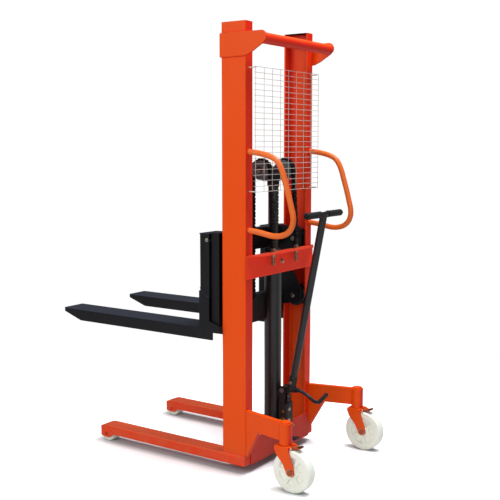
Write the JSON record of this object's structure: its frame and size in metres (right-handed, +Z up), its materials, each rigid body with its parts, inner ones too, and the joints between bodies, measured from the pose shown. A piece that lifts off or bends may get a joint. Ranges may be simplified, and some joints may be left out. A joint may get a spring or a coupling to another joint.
{
  "type": "walkie stacker",
  "caption": "Manual walkie stacker: orange channel mast on outrigger legs, black fork carriage on a chain-and-ram lift, wire guard, pump tee handle, swivel casters.",
  "frame": {"origin": "on the floor, under the centre of the overall length and width", "axes": "forks point to -Y, the operator stands on the +Y side, +X is the operator's left, +Z up"},
  "size_m": [0.718, 1.425, 1.926],
  "materials": {
    "frame_orange": "gloss powder coat, vivid orange",
    "fork_black": "satin black enamel, edges rubbed",
    "pump_black": "black enamelled casting, oily",
    "cylinder_black": "satin black enamel on drawn tube",
    "chrome_rod": "hard chrome, oiled",
    "bare_steel": "turned steel",
    "zinc_fastener": "bright zinc plate",
    "galvanised_wire": "galvanised wire",
    "chain_steel": "oiled leaf chain",
    "nylon_white": "cast nylon, off-white",
    "grip_rubber": "soft black grip"
  },
  "bodies": {
    "frame": {"mast_upright_left": "frame_orange", "top_bracket_left": "frame_orange", "mast_upright_right": "frame_orange", "top_bracket_right": "frame_orange", "top_cross_tube": "frame_orange", "mast_crossbeam": "frame_orange", "mesh_guard": "galvanised_wire", "handle_left": "frame_orange", "handle_right": "frame_orange", "base_frame": "frame_orange", "outrigger_leg_left": "frame_orange", "load_roller_axle_left": "bare_steel", "caster_bracket_left": "frame_orange", "outrigger_leg_right": "frame_orange", "load_roller_axle_right": "bare_steel", "caster_bracket_right": "frame_orange", "hydraulic_cylinder": "cylinder_black", "cylinder_gland": "pump_black", "pump_body": "pump_black", "lever_pivot_pin": "bare_steel", "oil_pipe": "bare_steel", "chain_anchor_left": "zinc_fastener", "lift_chain_rear_left": "chain_steel", "chain_anchor_right": "zinc_fastener", "lift_chain_rear_right": "chain_steel"},
    "ram": {"piston_rod": "chrome_rod", "chain_yoke": "fork_black", "chain_wheel_shaft": "bare_steel", "lift_chain_arc_left": "chain_steel", "lift_chain_arc_right": "chain_steel"},
    "carriage": {"fork_carriage": "fork_black", "fork_left": "fork_black", "fork_bolt_left": "zinc_fastener", "lift_chain_front_left": "chain_steel", "fork_right": "fork_black", "fork_bolt_right": "zinc_fastener", "lift_chain_front_right": "chain_steel"},
    "sheave_left": {"chain_wheel_left": "bare_steel"},
    "sheave_right": {"chain_wheel_right": "bare_steel"},
    "roller_upper_left": {"mast_roller_upper_left": "bare_steel"},
    "roller_upper_right": {"mast_roller_upper_right": "bare_steel"},
    "roller_lower_left": {"mast_roller_lower_left": "bare_steel"},
    "roller_lower_right": {"mast_roller_lower_right": "bare_steel"},
    "pump_handle": {"pump_lever": "fork_black", "tee_grip_left": "grip_rubber", "tee_grip_right": "grip_rubber", "foot_pedal": "fork_black"},
    "plunger": {"pump_plunger": "chrome_rod"},
    "release": {"release_pedal": "fork_black"},
    "caster_left": {"caster_fork_left": "frame_orange", "caster_axle_left": "bare_steel"},
    "wheel_left": {"caster_wheel_left": "nylon_white"},
    "brake_left": {"caster_brake_left": "fork_black"},
    "load_wheel_left": {"load_roller_left": "nylon_white"},
    "caster_right": {"caster_fork_right": "frame_orange", "caster_axle_right": "bare_steel"},
    "wheel_right": {"caster_wheel_right": "nylon_white"},
    "brake_right": {"caster_brake_right": "fork_black"},
    "load_wheel_right": {"load_roller_right": "nylon_white"}
  },
  "joints": [
    {"name": "ram_lift", "type": "slide", "parent": "frame", "child": "ram", "axis": [0, 0, 1], "range_m": [-0.2705, 0.425], "deforming": ["lift_chain_rear_left", "lift_chain_rear_right"]},
    {"name": "carriage_lift", "type": "slide", "parent": "ram", "child": "carriage", "axis": [0, 0, 1], "range_m": [-0.2705, 0.425], "deforming": ["lift_chain_front_left", "lift_chain_front_right"]},
    {"name": "sheave_spin_left", "type": "hinge", "parent": "ram", "child": "sheave_left", "pos_m": [0.095, 0.3125, 1.31], "axis": [1, 0, 0], "continuous": true},
    {"name": "sheave_spin_right", "type": "hinge", "parent": "ram", "child": "sheave_right", "pos_m": [-0.095, 0.3125, 1.31], "axis": [1, 0, 0], "continuous": true},
    {"name": "roller_spin_upper_left", "type": "hinge", "parent": "carriage", "child": "roller_upper_left", "pos_m": [0.2435, 0.2895, 0.985], "axis": [1, 0, 0], "continuous": true},
    {"name": "roller_spin_upper_right", "type": "hinge", "parent": "carriage", "child": "roller_upper_right", "pos_m": [-0.2435, 0.2895, 0.985], "axis": [1, 0, 0], "continuous": true},
    {"name": "roller_spin_lower_left", "type": "hinge", "parent": "carriage", "child": "roller_lower_left", "pos_m": [0.2435, 0.2895, 0.715], "axis": [1, 0, 0], "continuous": true},
    {"name": "roller_spin_lower_right", "type": "hinge", "parent": "carriage", "child": "roller_lower_right", "pos_m": [-0.2435, 0.2895, 0.715], "axis": [1, 0, 0], "continuous": true},
    {"name": "handle_pump", "type": "hinge", "parent": "frame", "child": "pump_handle", "pos_m": [0, 0.3775, 0.322], "axis": [-1, 0, 0], "range_deg": [0, 40]},
    {"name": "plunger_slide", "type": "slide", "parent": "frame", "child": "plunger", "axis": [0, 0, -1], "range_m": [0, 0.0168]},
    {"name": "release_press", "type": "hinge", "parent": "frame", "child": "release", "pos_m": [0, 0.3905, 0.106], "axis": [-1, 0, 0], "range_deg": [0, 15], "stiffness_Nm_per_rad": 2},
    {"name": "swivel_left", "type": "hinge", "parent": "frame", "child": "caster_left", "pos_m": [0.318, 0.5815, 0.2], "axis": [0, 0, 1], "continuous": true},
    {"name": "wheel_spin_left", "type": "hinge", "parent": "caster_left", "child": "wheel_left", "pos_m": [0.318, 0.6225, 0.09], "axis": [1, 0, 0], "continuous": true},
    {"name": "brake_press_left", "type": "hinge", "parent": "caster_left", "child": "brake_left", "pos_m": [0.318, 0.6215, 0.188], "axis": [-1, 0, 0], "range_deg": [0, 10], "stiffness_Nm_per_rad": 1},
    {"name": "load_wheel_spin_left", "type": "hinge", "parent": "frame", "child": "load_wheel_left", "pos_m": [0.24725, -0.4545, 0.037], "axis": [1, 0, 0], "continuous": true},
    {"name": "swivel_right", "type": "hinge", "parent": "frame", "child": "caster_right", "pos_m": [-0.318, 0.5815, 0.2], "axis": [0, 0, 1], "continuous": true},
    {"name": "wheel_spin_right", "type": "hinge", "parent": "caster_right", "child": "wheel_right", "pos_m": [-0.318, 0.6225, 0.09], "axis": [1, 0, 0], "continuous": true},
    {"name": "brake_press_right", "type": "hinge", "parent": "caster_right", "child": "brake_right", "pos_m": [-0.318, 0.6215, 0.188], "axis": [-1, 0, 0], "range_deg": [0, 10], "stiffness_Nm_per_rad": 1},
    {"name": "load_wheel_spin_right", "type": "hinge", "parent": "frame", "child": "load_wheel_right", "pos_m": [-0.24725, -0.4545, 0.037], "axis": [1, 0, 0], "continuous": true}
  ],
  "couplings": [
    {"joint": "carriage_lift", "follows": "ram_lift", "ratio": 1},
    {"joint": "sheave_spin_left", "follows": "ram_lift", "rad_per_m": -22.222},
    {"joint": "sheave_spin_right", "follows": "ram_lift", "rad_per_m": -22.222},
    {"joint": "roller_spin_upper_left", "follows": "ram_lift", "rad_per_m": 38.462},
    {"joint": "roller_spin_upper_right", "follows": "ram_lift", "rad_per_m": 38.462},
    {"joint": "roller_spin_lower_left", "follows": "ram_lift", "rad_per_m": -38.462},
    {"joint": "roller_spin_lower_right", "follows": "ram_lift", "rad_per_m": -38.462},
    {"joint": "plunger_slide", "follows": "handle_pump", "m_per_rad": 0.024}
  ]
}
